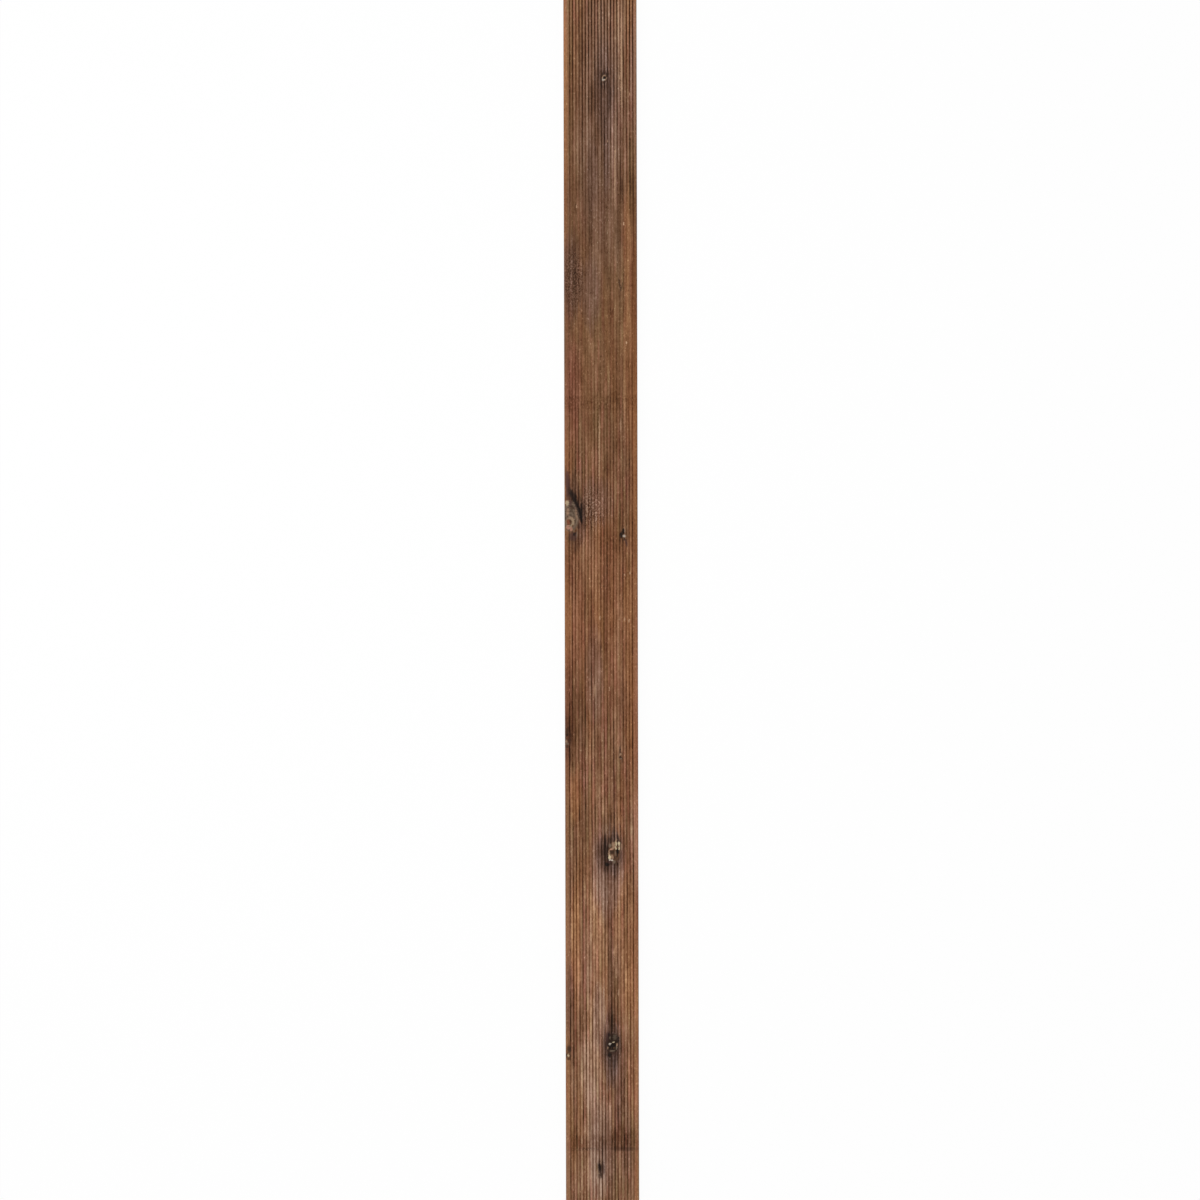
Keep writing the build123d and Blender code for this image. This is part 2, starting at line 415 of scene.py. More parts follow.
STAINS = (
    Stain(0.0, 700.0, 80.0, 560.0, 0.0, "olive", 0.3),
    Stain(0.0, 930.0, 60.0, 330.0, -0.05, "grey", 0.4),
    Stain(-70.0, 930.0, 5.0, 330.0, 0.06, "orange", 0.5),
    Stain(-58.0, 1040.0, 8.0, 210.0, -0.10, "olive", 0.3),
    Stain(66.0, 1030.0, 8.0, 190.0, 0.03, "grey", 0.3),
    Stain(52.0, 1010.0, 6.0, 130.0, -0.08),
    Stain(-34.0, 1130.0, 15.0, 85.0, -0.12),
    Stain(-17.0, 985.0, 9.0, 50.0, -0.11),
    Stain(10.0, 1105.0, 9.0, 70.0, 0.10),
    Stain(8.0, 1010.0, 22.0, 110.0, -0.11, "grey", 0.6),
    Stain(12.0, 900.0, 9.0, 110.0, -0.02, "grey", 0.6),
    Stain(41.0, 1050.0, 6.0, 170.0, 0.15),
    Stain(45.0, 1150.0, 14.0, 70.0, 0.04),
    Stain(27.0, 860.0, 6.0, 110.0, 0.06),
    Stain(46.0, 815.0, 12.0, 55.0, -0.04),
    Stain(63.0, 840.0, 9.0, 110.0, -0.10, "olive", 0.4),
    Stain(53.0, 710.0, 9.0, 130.0, 0.13, "orange", 0.5),
    Stain(65.0, 620.0, 8.0, 100.0, -0.08),
    Stain(-15.0, 840.0, 14.0, 90.0, -0.04, "grey", 0.3),
    Stain(-6.0, 920.0, 8.0, 45.0, -0.09),
    Stain(-4.0, 735.0, 15.0, 120.0, 0.11),
    Stain(20.0, 715.0, 9.0, 65.0, 0.11),
    Stain(-57.0, 640.0, 25.0, 95.0, -0.15, "grey", 0.5),
    Stain(-55.0, 420.0, 20.0, 110.0, 0.0, "red", 0.6),
    Stain(29.0, 300.0, 10.0, 70.0, -0.09),
    Stain(-10.0, 360.0, 27.0, 75.0, -0.12),
    Stain(0.0, 450.0, 12.0, 50.0, -0.08),
    Stain(6.0, 265.0, 12.0, 45.0, -0.11),
    Stain(53.0, 460.0, 9.0, 200.0, 0.13, "orange", 0.4),
    Stain(66.0, 500.0, 8.0, 300.0, -0.02, "orange", 0.6),
    Stain(-2.0, 297.0, 3.0, 85.0, 0.12),
    Stain(-56.0, 205.0, 17.0, 60.0, -0.13, "grey", 0.4),
    Stain(-39.0, 150.0, 11.0, 45.0, -0.09, "grey", 0.5),
    Stain(-40.0, 205.0, 8.0, 40.0, -0.12),
    Stain(-26.0, 75.0, 18.0, 75.0, 0.16),
    Stain(-64.0, 60.0, 9.0, 65.0, -0.08),
    Stain(6.0, 60.0, 7.0, 65.0, 0.10),
    Stain(30.0, 140.0, 20.0, 45.0, -0.06),
    Stain(64.0, 120.0, 8.0, 60.0, -0.09),
    Stain(66.0, -60.0, 12.0, 400.0, 0.02, "orange", 0.5),
    Stain(52.0, -60.0, 9.0, 150.0, 0.12, "orange", 0.4),
    Stain(29.0, -60.0, 8.0, 150.0, 0.08),
    Stain(-50.0, -60.0, 20.0, 120.0, 0.04, "red", 0.3),
    Stain(-67.0, -40.0, 9.0, 130.0, 0.04, "orange", 0.6),
    Stain(0.0, 0.0, 70.0, 260.0, 0.02, "orange", 0.35),
    Stain(56.0, -220.0, 16.0, 130.0, 0.02, "orange", 0.6),
    Stain(-17.0, -270.0, 8.0, 150.0, 0.15),
    Stain(-40.0, -295.0, 9.0, 60.0, -0.09),
    Stain(-66.0, -220.0, 12.0, 130.0, -0.14, "red", 0.4),
    Stain(-45.0, -245.0, 28.0, 75.0, -0.07),
    Stain(-5.0, -370.0, 22.0, 80.0, 0.10),
    Stain(-29.0, -355.0, 8.0, 65.0, 0.15),
    Stain(-52.0, -390.0, 14.0, 60.0, 0.09, "orange", 0.6),
    Stain(17.0, -440.0, 7.0, 40.0, -0.11),
    Stain(34.0, -430.0, 10.0, 45.0, 0.08),
    Stain(66.0, -480.0, 12.0, 120.0, 0.13, "pink", 0.2),
    Stain(4.0, -505.0, 18.0, 40.0, -0.26, "grey", 0.9),
    Stain(26.0, -510.0, 22.0, 60.0, -0.08, "grey", 0.8),
    Stain(0.0, -585.0, 42.0, 45.0, 0.09),
    Stain(-12.0, -700.0, 26.0, 280.0, 0.19, "orange", 0.3),
    Stain(-53.0, -680.0, 11.0, 170.0, 0.17, "orange", 0.6),
    Stain(-66.0, -790.0, 12.0, 90.0, -0.10, "grey", 0.3),
    Stain(17.0, -770.0, 7.0, 190.0, -0.12, "grey", 0.2),
    Stain(45.0, -660.0, 24.0, 190.0, 0.09, "orange", 0.4),
    Stain(58.0, -800.0, 14.0, 110.0, 0.15),
    Stain(37.0, -775.0, 11.0, 55.0, -0.07),
    Stain(18.0, -890.0, 20.0, 80.0, -0.16, "grey", 0.9),
    Stain(-18.0, -905.0, 10.0, 95.0, -0.10),
    Stain(29.0, -900.0, 9.0, 80.0, 0.16),
    Stain(-25.0, -930.0, 28.0, 90.0, 0.22, "pink", 0.3),
    Stain(-57.0, -985.0, 12.0, 75.0, 0.12),
    Stain(34.0, -950.0, 14.0, 120.0, -0.10, "grey", 0.3),
    Stain(-6.0, -1015.0, 8.0, 55.0, 0.12),
    Stain(-20.0, -1070.0, 20.0, 140.0, 0.15, "pink", 0.3),
    Stain(60.0, -960.0, 14.0, 100.0, 0.06, "orange", 0.4),
    Stain(36.0, -1068.0, 36.0, 28.0, -0.16),
    Stain(-34.0, -1076.0, 36.0, 15.0, -0.10),
    Stain(-52.0, -1130.0, 8.0, 80.0, 0.11),
    Stain(-22.0, -1165.0, 34.0, 45.0, 0.11),
    Stain(2.0, -1110.0, 8.0, 60.0, -0.06, "grey", 0.5),
    Stain(0.0, -1090.0, 30.0, 120.0, 0.0, "pink", 0.7),
    Stain(10.0, -530.0, 34.0, 110.0, 0.0, "grey", 0.5),
    Stain(-6.0, -830.0, 16.0, 80.0, 0.0, "pink", 0.6),
    Stain(-14.0, -150.0, 20.0, 110.0, 0.0, "grey", 0.4),
    Stain(-20.0, 610.0, 24.0, 80.0, 0.0, "grey", 0.45),
    Stain(-8.0, 195.0, 36.0, 55.0, 0.0, "grey", 0.4),
    Stain(70.0, -330.0, 8.0, 420.0, 0.0, "red", 0.4),
    Stain(-17.0, 683.0, 6.0, 45.0, 0.13),
    Stain(40.0, 921.0, 6.0, 35.0, -0.12),
    Stain(-17.0, 861.0, 6.0, 40.0, -0.10),
    Stain(-17.0, 386.0, 6.0, 40.0, 0.10),
    Stain(14.0, 386.0, 8.0, 45.0, -0.08),
    Stain(-52.0, -945.0, 6.0, 60.0, 0.12),
    Stain(-30.0, -562.0, 7.0, 35.0, 0.09),
    Stain(57.0, -660.0, 10.0, 60.0, 0.09),
    Stain(34.0, -386.0, 9.0, 40.0, 0.08),
    Stain(58.5, -505.0, 4.0, 50.0, -0.11, "red", 0.5),
    Stain(17.0, 1158.0, 6.0, 35.0, 0.10),
    Stain(40.0, 564.0, 6.0, 40.0, -0.09),
    Stain(12.0, -683.0, 9.0, 45.0, 0.08),
    Stain(46.0, -861.0, 9.0, 40.0, 0.09),
    Stain(17.0, -980.0, 6.0, 35.0, -0.09),
)
# Patches where spots break up the tone, with no colour of their own
SPECKLED = (
    Daub(-16.0, 178.0, 24.0, 44.0, "", 0.46, 0.8),
    Daub(-54.0, 640.0, 22.0, 60.0, "", 0.34, 0.8),
)
CRACKS = (
    Crack(3, -812.0, -862.0, 5.0),
    Crack(-6, 1180.0, 1206.0, 7.0),
    Crack(5, -1182.0, -1206.0, 6.0),
)
STICK_MARKS = ((390.0, 18.0, 0.6), (-1072.0, 18.0, 0.45))  # along, half length, strength
STICK_RAGGED = 14.0  # how far the edge of such a mark strays
# How far across the grooves have wandered, and how much of their depth was cut
GROOVE_DRIFT = (Step(440.0, 760.0, 2.3), Step(330.0, -60.0, -0.85), Step(-300.0, -560.0, 0.85))
GROOVE_SHARE = 0.82  # of its full depth that a groove has between the steps
GROOVE_STEPS = (Step(760.0, 1180.0, 0.18), Step(920.0, 740.0, -0.38), Step(540.0, 120.0, 0.38),
                Step(-200.0, -640.0, 0.18))
# How much paler the wood gets along the board
TONE_STEPS = (Step(950.0, 1150.0, 0.06), Step(780.0, 900.0, 0.14), Step(480.0, 380.0, 0.065),
              Step(0.0, -150.0, 0.045), Step(-540.0, -700.0, 0.04), Step(-860.0, -960.0, 0.035))
# Darkening of the groove floors, partly stain that collects there and partly painted shade of the recess: an
# even share, and what it gains or loses along the board
FLOOR_STAIN_AND_SHADE = 0.295
GROOVE_STAIN_AND_SHADE = (Step(900.0, 1190.0, 0.24), Step(20.0, -60.0, -0.04), Step(-260.0, -340.0, 0.04),
                Step(-560.0, -660.0, -0.07), Step(-860.0, -940.0, 0.07))
PITH = (14.0, -70.0)  # across and up: the heart of the tree lies below the board
RING_SPACING = 2.9
KNOT_SURROUND = 8.0  # wood round a knot that gets the fine mesh
MAP_NAME = "OFBake"
MAP_GAP = 0.006  # of the map's side, left round each part of it
SIDE_SHARE = 0.75  # of the walking face's fineness that the sides get in the map
BACK_SHARE = 0.4  # and the back
ENDS_SHARE = 0.06  # of the map's height that the sawn ends take
END_LIMIT = 0.99999  # of the half length, past which a face is part of a sawn end
SHARP_ANGLE = math.radians(42)
MERGE_DISTANCE = 1e-6

# Wear, in millimetres
UNWORN_DEPTH = 1.05  # in groove depths, below which the wood stays as it was planed
RIB_WAVER = 0.2
CREST_RUB = 0.16
KNOT_ROUGHNESS = 0.3
KNOT_RAGGED = 0.22  # of a knot's size that its rim strays

# How strongly each pattern shows in the wood's tone, which goes from 0, darkest, to 1, palest
BASE_TONE = 0.476
GRAIN_TONE = 0.52
GRAIN_IN_GROOVE = 0.15  # taken off that in the grooves
FIBRE_TONE = 0.25
SPECKLE_TONE = 0.34
DASH_TONE = 0.3
DIP_TONE = 1.5  # how much one groove differs from the next
WIDTH_TONE = 0.1
RING_TONE = 0.06

LUMINANCE = (0.2126, 0.7152, 0.0722)  # how bright red, green and blue light look
STREAKY_SOFTNESS = 0.65  # softness past which a daub is drawn out along the fibres

# Relief and end grain of the wood
RELIEF_STRENGTH = 0.6
RELIEF_DEPTH = 0.5 * MM
END_STAIN = 0.75
END_RINGS = 0.55
END_ROUGHNESS = 0.15


# The board's mesh

def draw_section(mesh, sizes):
    """One face at the near end with the board's outline, every corner rounded by a bevel."""
    half = sizes.board_width / 2
    near = -sizes.board_length / 2
    gaps = int((sizes.board_width - 2 * sizes.smooth_margin) // sizes.groove_pitch)
    flank = (sizes.groove_mouth - sizes.groove_floor) / 2
    half_turn = math.atan2(sizes.groove_depth, flank) / 2
    corners = {"back": [], "edge": [], "crest": [], "floor": []}
    outline = []

    def corner(kind, across, height):
        vertex = mesh.verts.new((across, near, height))
        corners[kind].append(vertex)
        outline.append(vertex)

    corner("back", -half, 0.0)
    corner("back", half, 0.0)
    corner("edge", half, sizes.thickness)
    for index in range(gaps, -1, -1):
        centre = (index - gaps / 2) * sizes.groove_pitch
        floor_height = sizes.thickness - sizes.groove_depth
        corner("crest", centre + sizes.groove_mouth / 2, sizes.thickness)
        corner("floor", centre + sizes.groove_floor / 2, floor_height)
        corner("floor", centre - sizes.groove_floor / 2, floor_height)
        corner("crest", centre - sizes.groove_mouth / 2, sizes.thickness)
    corner("edge", -half, sizes.thickness)
    mesh.faces.new(outline)
    for kind, radius, segments in (
        ("back", sizes.back_edge_radius, 5),
        ("edge", sizes.top_edge_radius, 7),
        ("crest", sizes.crest_radius * math.tan(half_turn), 2),
        ("floor", sizes.floor_radius * math.tan(half_turn), 2),
    ):
        bmesh.ops.bevel(
            mesh, geom=corners[kind], offset=radius, offset_type="ABSOLUTE", segments=segments,
            profile=0.5, affect="VERTICES", material=-1,
        )


def runs_along(edge):
    """True for an edge that follows the board's length."""
    first, second = edge.verts
    return abs(first.co.y - second.co.y) > abs(first.co.x - second.co.x) + abs(first.co.z - second.co.z)


def near_mark(place, sizes):
    """True close to a knot or crack on the walking face, where the wear needs a fine mesh."""
    across, along = place.x / MM, place.y / MM
    if place.z < sizes.thickness - sizes.top_edge_radius:
        return False
    for knot in KNOTS:
        wide = abs(across - knot.across) < knot.half_width + KNOT_SURROUND
        if wide and abs(along - knot.along) < knot.half_length + KNOT_SURROUND:
            return True
    for crack in CRACKS:
        beside = abs(across - crack.groove * sizes.groove_pitch / MM) < sizes.groove_mouth / MM
        if beside and min(crack.start, crack.end) < along < max(crack.start, crack.end):
            return True
    return False


def cut_rows(mesh, sizes):
    """Rows across the board for its wear: even ones all along, and fine ones round each mark."""
    plain_cuts = round(sizes.board_length / sizes.row_length) - 1
    edges = [edge for edge in mesh.edges if runs_along(edge)]
    bmesh.ops.subdivide_edges(mesh, edges=edges, cuts=plain_cuts, use_grid_fill=True)
    edges = [
        edge for edge in mesh.edges
        if runs_along(edge) and near_mark((edge.verts[0].co + edge.verts[1].co) / 2, sizes)
    ]
    bmesh.ops.subdivide_edges(mesh, edges=edges, cuts=sizes.fine_rows - 1, use_grid_fill=True)


def ripple(across, along, seed):
    """Smooth chance variation, about -1 to 1, with a blotch size of one unit."""
    return noise.noise(Vector((across, along, seed)))


def smooth_step(value, start, end):
    """Rises smoothly from 0 at start to 1 at end."""
    share_done = min(max((value - start) / (end - start), 0.0), 1.0)
    return share_done * share_done * (3 - 2 * share_done)


def sum_of_steps(along, steps):
    """What a list of steps has added up to at a place along the board."""
    return sum(step.amount * smooth_step(along, step.start, step.end) for step in steps)


def daub_reach(daub, across, along):
    """Distance from a daub's middle in daub sizes."""
    turn = math.radians(daub.turn)
    side = across * math.cos(turn) + along * math.sin(turn)
    way = along * math.cos(turn) - across * math.sin(turn)
    return math.hypot(side / daub.half_width, way / daub.half_length)


def wear(place, sizes):
    """Where a point of the sharp section ends up: ribs waver, knots break them, checks open."""
    across, along, height = (value / MM for value in place)
    top = sizes.thickness / MM
    depth = sizes.groove_depth / MM
    lowness = (top - height) / depth
    if lowness > UNWORN_DEPTH:
        return place
    moved_across = across
    moved_height = height
    if abs(across) < (sizes.board_width / 2 - sizes.top_edge_radius) / MM:
        share_cut = min(GROOVE_SHARE + sum_of_steps(along, GROOVE_STEPS), 1.0)
        moved_across += sum_of_steps(along, GROOVE_DRIFT) + RIB_WAVER * ripple(across / 14, along / 130, 1.0)
        moved_height = top - depth * lowness * share_cut
        moved_height -= CREST_RUB * (0.5 + 0.5 * ripple(across / 7, along / 90, 2.0)) * (1 - lowness)
    for knot in KNOTS:
        side = moved_across - knot.across
        way = along - knot.along
        reach = math.hypot(side / knot.half_width, way / knot.half_length)
        if reach > 2.5:
            continue
        reach += KNOT_RAGGED * ripple(moved_across / 5, along / 6, 3.0)
        inside = 1 - smooth_step(reach, 0.8, 1.15)
        broken = top - knot.sunk - KNOT_ROUGHNESS * ripple(moved_across / 2.5, along / 4, 4.0)
        moved_height += inside * (min(broken, top) - moved_height)
        for daub in knot.daubs:
            if daub.pit:
                near = daub_reach(daub, side - daub.across, way - daub.along)
                moved_height -= daub.pit * (1 - smooth_step(near, 0.4, 1.1))
    for crack in CRACKS:
        beside = abs(across - crack.groove * sizes.groove_pitch / MM)
        run = (along - crack.start) / (crack.end - crack.start)
        if beside < sizes.groove_floor / MM * 0.55 and 0 < run < 1:
            moved_height -= crack.depth * math.sin(math.pi * run)
    return Vector((moved_across * MM, place.y, moved_height * MM))


def finish_mesh(mesh, name, sharp_angle):
    """Cleans the mesh, shades it smooth but for its sharp edges, and links it as an object."""
    bmesh.ops.remove_doubles(mesh, verts=mesh.verts, dist=MERGE_DISTANCE)
    bmesh.ops.recalc_face_normals(mesh, faces=mesh.faces)
    for face in mesh.faces:
        face.smooth = True
    for edge in mesh.edges:
        edge.smooth = edge.calc_face_angle(math.pi) < sharp_angle
    data = bpy.data.meshes.new(name)
    mesh.to_mesh(data)
    mesh.free()
    piece = bpy.data.objects.new(name, data)
    bpy.context.scene.collection.objects.link(piece)
    return piece


def round_girth(place, on_back, sizes):
    """How far a point lies round the section, from the middle of the walking face, as the map has it."""
    half = sizes.board_width / 2
    drop = (sizes.thickness - place.z) * SIDE_SHARE
    if on_back and place.x < 0:
        drop = (sizes.thickness + place.z) * SIDE_SHARE
    if on_back:
        return half + drop + (half - place.x) * BACK_SHARE
    if abs(place.x) < half - sizes.top_edge_radius:
        return place.x
    return math.copysign(abs(place.x) + drop, place.x)


def lay_map(mesh, sizes):
    """Lays the board out flat for baking: two half lengths, each unrolled, with the ends above them."""
    layer = mesh.loops.layers.uv.new(MAP_NAME)
    half_length = sizes.board_length / 2
    side = (sizes.thickness - sizes.back_edge_radius) * SIDE_SHARE
    first = -sizes.board_width / 2 - side
    girth = sizes.board_width * (1 + BACK_SHARE) + 2 * sizes.thickness * SIDE_SHARE
    strip = (1 - ENDS_SHARE) / 2

    def spot(left, low, width, height, right, up):
        return (
            left + MAP_GAP + (width - 2 * MAP_GAP) * right,
            low + MAP_GAP + (height - 2 * MAP_GAP) * up,
        )

    for face in mesh.faces:
        middle = face.calc_center_median()
        far = middle.y > 0
        on_end = abs(middle.y) > half_length * END_LIMIT
        on_back = middle.z < sizes.back_edge_radius
        for loop in face.loops:
            place = loop.vert.co
            if on_end:
                right = 0.5 + place.x / sizes.board_width * (-1 if far else 1)
                up = place.z / sizes.thickness
                loop[layer].uv = spot(0.5 * far, 1 - ENDS_SHARE, 0.5, ENDS_SHARE, right, up)
            else:
                right = place.y / half_length + (not far)
                up = 1 - (round_girth(place, on_back, sizes) - first) / girth
                loop[layer].uv = spot(0.0, strip * far, 1.0, strip, right, up)


def model_board(sizes):
    """The whole board: its section swept along, cut into rows and worn."""
    mesh = bmesh.new()
    draw_section(mesh, sizes)
    swept = bmesh.ops.extrude_face_region(mesh, geom=mesh.faces[:])
    far_end = [item for item in swept["geom"] if isinstance(item, bmesh.types.BMVert)]
    bmesh.ops.translate(mesh, verts=far_end, vec=(0.0, sizes.board_length, 0.0))
    cut_rows(mesh, sizes)
    for vertex in mesh.verts:
        vertex.co = wear(vertex.co, sizes)
    lay_map(mesh, sizes)
    return finish_mesh(mesh, "ribbed_board", SHARP_ANGLE)


# The wood

class Field:
    """A socket of the wood's shader. Python's arithmetic on it adds Math nodes to the same tree."""

    def __init__(self, socket):
        self.socket = socket

    def node(self, kind, settings=None, sockets=None, output=0):
        """Adds a node to the tree, sets it up, then gives its sockets their values or links."""
        tree = self.socket.id_data
        made = tree.nodes.new(kind)
        for name, value in (settings or {}).items():
            setattr(made, name, value)
        for name, value in (sockets or {}).items():
            if isinstance(value, Field):
                tree.links.new(value.socket, made.inputs[name])
            else:
                made.inputs[name].default_value = value
        return Field(made.outputs[output])

    def output(self, name):
        """Another output of the same node."""
        return Field(self.socket.node.outputs[name])

    def maths(self, operation, first, second=0.0):
        return self.node("ShaderNodeMath", {"operation": operation}, {0: first, 1: second})

    def __add__(self, other):
        return self.maths("ADD", self, other)

    def __sub__(self, other):
        return self.maths("SUBTRACT", self, other)

    def __rsub__(self, other):
        return self.maths("SUBTRACT", other, self)

    def __mul__(self, other):
        return self.maths("MULTIPLY", self, other)

    def __truediv__(self, other):
        return self.maths("DIVIDE", self, other)

    def __rtruediv__(self, other):
        return self.maths("DIVIDE", other, self)

    def __abs__(self):
        return self.maths("ABSOLUTE", self)

    def __floordiv__(self, other):
        return self.maths("FLOOR", self / other)

    __radd__ = __add__
    __rmul__ = __mul__

    def sine(self):
        return self.maths("SINE", self)

    def larger(self, other):
        return self.maths("MAXIMUM", self, other)

    def step(self, start, end, low=0.0, high=1.0):
        """Goes smoothly from low at start to high at end."""
        return self.node(
            "ShaderNodeMapRange", {"interpolation_type": "SMOOTHSTEP", "clamp": False},
            {"Value": self, "From Min": start, "From Max": end, "To Min": low, "To Max": high},
        )

    def between(self, below, above, blend="MIX"):
        """A colour that goes from one to another as this factor goes from 0 to 1."""
        settings = {"data_type": "RGBA", "blend_type": blend}
        return self.node("ShaderNodeMix", settings, {0: self, 6: below, 7: above}, 2)

    def vector(self, across, along, up):
        return self.node("ShaderNodeCombineXYZ", {}, {"X": across, "Y": along, "Z": up})

    def vector_maths(self, operation, second=(0.0, 0.0, 0.0), third=(0.0, 0.0, 0.0)):
        settings = {"operation": operation}
        return self.node("ShaderNodeVectorMath", settings, {0: self, 1: second, 2: third}, "Vector")

    def split(self, part):
        """One part of a vector."""
        return self.node("ShaderNodeSeparateXYZ", {}, {0: self}, part)

    def red_part(self):
        """The red of a colour. The green and the blue are other outputs of the same node."""
        return self.node("ShaderNodeSeparateColor", {}, {0: self}, "Red")

    def dot(self, other):
        return self.node("ShaderNodeVectorMath", {"operation": "DOT_PRODUCT"}, {0: self, 1: other}, "Value")

    def spread(self, across, along, half_width, half_length, turn=0.0):
        """Square of how far a place on the face is from an ellipse's middle, in sizes of that ellipse."""
        if not turn:
            scale = (1 / half_width, 1 / half_length, 0.0)
            shift = (-across / half_width, -along / half_length, 0.0)
            inside = self.vector_maths("MULTIPLY_ADD", scale, shift)
            return inside.dot(inside)
        cosine = math.cos(math.radians(turn))
        sine = math.sin(math.radians(turn))
        # The third part of a place on the face is 1, so it takes the ellipse's own place.
        own_side = across * cosine + along * sine
        own_way = along * cosine - across * sine
        side = self.dot((cosine / half_width, sine / half_width, -own_side / half_width))
        way = self.dot((-sine / half_length, cosine / half_length, -own_way / half_length))
        return side * side + way * way

    def noise(self, size_across, size_along, seed, detail=2.0, rough=0.5, output=0):
        """Chance variation of 0 to 1 with blotches of about the size given."""
        scale = (1 / size_across, 1 / size_along, 1 / size_across)
        place = self.vector_maths("MULTIPLY_ADD", scale, (0.0, 0.0, seed))
        sockets = {"Vector": place, "Scale": 1.0, "Detail": detail, "Roughness": rough}
        return self.node("ShaderNodeTexNoise", {}, sockets, output)


class Wood(NamedTuple):
    """Where a point of the wood lies, in millimetres, in several frames that many parts share."""

    place: Field  # across, along and up
    across: Field
    along: Field
    up: Field
    grown: Field  # the place with the fibres parted round the knots
    face: Field  # where the line from the pith through the point meets the walking face, uneven
    streaks: Field  # the same, but drawn out unevenly along the fibres
    speckle: Field  # small chance spots, centred on 0
    mottle: Field  # sharper spots, 0 or 1


class Finish(NamedTuple):
    """What the wood's surface is like at a point."""

    colour: Field
    roughness: Field
    relief: Field


def survey_wood(tree, sizes):
    """Reads the point being shaded and traces it along its ray from the pith to the walking face."""
    start = Field(tree.nodes.new("ShaderNodeTexCoord").outputs["Object"])
    place = start.vector_maths("MULTIPLY", (1 / MM, 1 / MM, 1 / MM))
    across = place.split("X")
    along = across.output("Y")
    up = across.output("Z")
    pith_across, pith_up = PITH
    rise = (up - pith_up) / (sizes.thickness / MM - pith_up)
    face_across = (across - pith_across) / rise + pith_across
    flat = across.vector(face_across, along, 1.0)
    fibre = across
    for knot in KNOTS:
        near = flat.spread(knot.across, knot.along, knot.half_width, knot.half_length * 1.8) + 0.6
        side = face_across - knot.across
        fibre = fibre - side / near
    grown = across.vector(fibre, along, up)
    uneven = grown.noise(3.4, 5.0, seed=0.0, rough=0.6, output="Color").red_part()
    speckle = uneven - 0.5
    spots = grown.noise(1.7, 2.8, seed=2.0, detail=1.0)
    ragged = uneven.vector(
        speckle * 2.6 + spots * 4.0 - 2.0,
        uneven.output("Green") * 5.0 + spots * 5.0 - 5.0,
        0.0,
    )
    face = flat.vector_maths("ADD", ragged)
    mottle = spots.step(0.42, 0.6)
    comb = grown.noise(2.6, 60.0, seed=4.0, output="Color").red_part()
    drawn_out = comb.vector(comb * 8.0 - 4.0, comb.output("Green") * 90.0 - 45.0, 0.0)
    streaks = face.vector_maths("ADD", drawn_out)
    return Wood(place, across, along, up, grown, face, streaks, speckle, mottle)


def ring_lines(wood):
    """Dark late wood of the growth rings about the pith, 0 to 1."""
    pith_across, pith_up = PITH
    flat = wood.grown.vector_maths("MULTIPLY_ADD", (1.0, 0.0, 1.0), (-pith_across, 0.0, -pith_up))
    radius = flat.node("ShaderNodeVectorMath", {"operation": "LENGTH"}, {0: flat}, "Value")
    age = (radius + wood.grown.noise(60.0, 900.0, seed=11.0, detail=1.0) * 14.0) / RING_SPACING
    year = age.maths("FRACT", age)
    return year.step(0.35, 0.92) * year.step(0.93, 1.0, 1.0, 0.0)


def opaque(shade):
    """A colour property as a colour socket takes it."""
    return (*shade, 1.0)


def tint(cast, colours):
    """What a colour of the everyday brown is multiplied by to lean to a cast but stay as light."""
    cast_light = sum(weight * part for weight, part in zip(LUMINANCE, cast))
    plain_light = sum(weight * part for weight, part in zip(LUMINANCE, colours.middle))
    return opaque([part / plain * plain_light / cast_light for part, plain in zip(cast, colours.middle)])


def along_steps(along, steps):
    """What a list of steps has added up to at a point along the board."""
    return sum(along.step(step.start, step.end, 0.0, step.amount) for step in steps)


def tone_colours(tone, colours):
    """The stain's browns from darkest to palest, for a tone of 0 to 1."""
    ramp = tone.node("ShaderNodeValToRGB", {}, {"Fac": tone})
    stops = ramp.socket.node.color_ramp.elements
    browns = (colours.darkest, colours.dark, colours.middle, colours.pale, colours.palest)
    while len(stops) < len(browns):
        stops.new(1.0)
    for index, (stop, brown) in enumerate(zip(stops, browns)):
        stop.position = index / (len(browns) - 1)
        stop.color = opaque(brown)
    return ramp


def daub_mask(wood, daub):
    """How much of a daub's colour a point takes."""
    frame_of_edge = wood.streaks if daub.soft > STREAKY_SOFTNESS else wood.face
    spread = frame_of_edge.spread(*daub[:4], daub.turn)
    mask = spread.step((1 - daub.soft) ** 2, (1 + daub.soft / 3) ** 2, daub.strength, 0.0)
    if daub.mottled:
        mask = mask * wood.mottle
    if daub.rings:
        rings = (spread.maths("SQRT", spread) * (daub.rings * 2 * math.pi)).sine()
        mask = mask * rings.step(-0.4, 0.8)
    return mask


